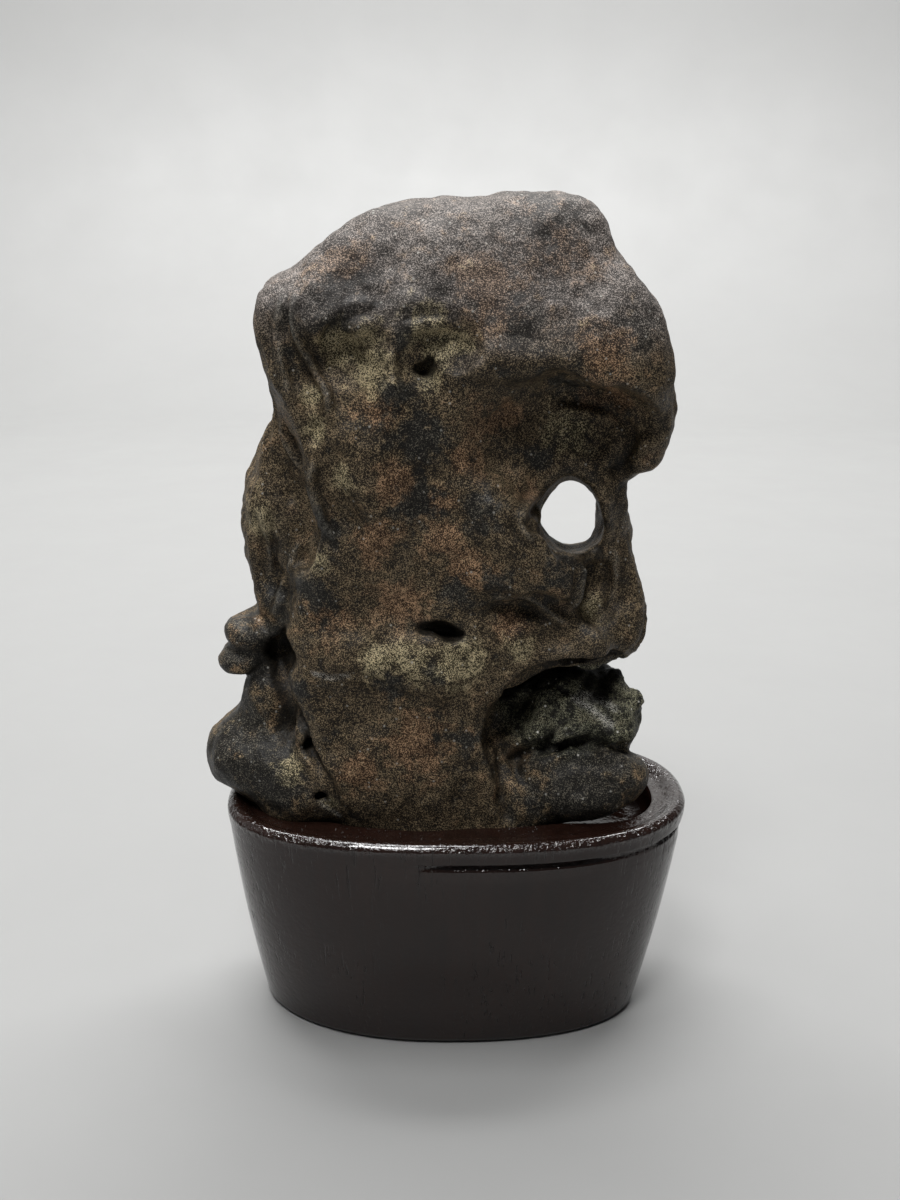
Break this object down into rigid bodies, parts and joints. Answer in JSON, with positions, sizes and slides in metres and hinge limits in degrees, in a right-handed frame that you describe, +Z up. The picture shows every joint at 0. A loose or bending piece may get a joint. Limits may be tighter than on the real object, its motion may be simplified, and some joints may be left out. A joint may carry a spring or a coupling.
{
  "type": "scholar's rock",
  "caption": "Dark weathered ornamental stone with a hole through its side and an overhanging cap, resting upright in a fitted, tapered, dark lacquered wooden stand.",
  "frame": {"origin": "centre of the stand's flat bottom", "axes": "+Z up, +Y from the front of the stone to its back, +X towards the side with the hole"},
  "size_m": [0.1796, 0.092, 0.3006],
  "materials": {
    "stone": "weathered, finely grained, in patches of blue-grey, rust and olive, faintly satin on the worn edges",
    "lacquered_wood": "glossy near-black mahogany lacquer over open pores"
  },
  "bodies": {
    "root": {"rock": "stone", "stand": "lacquered_wood"}
  },
  "joints": []
}
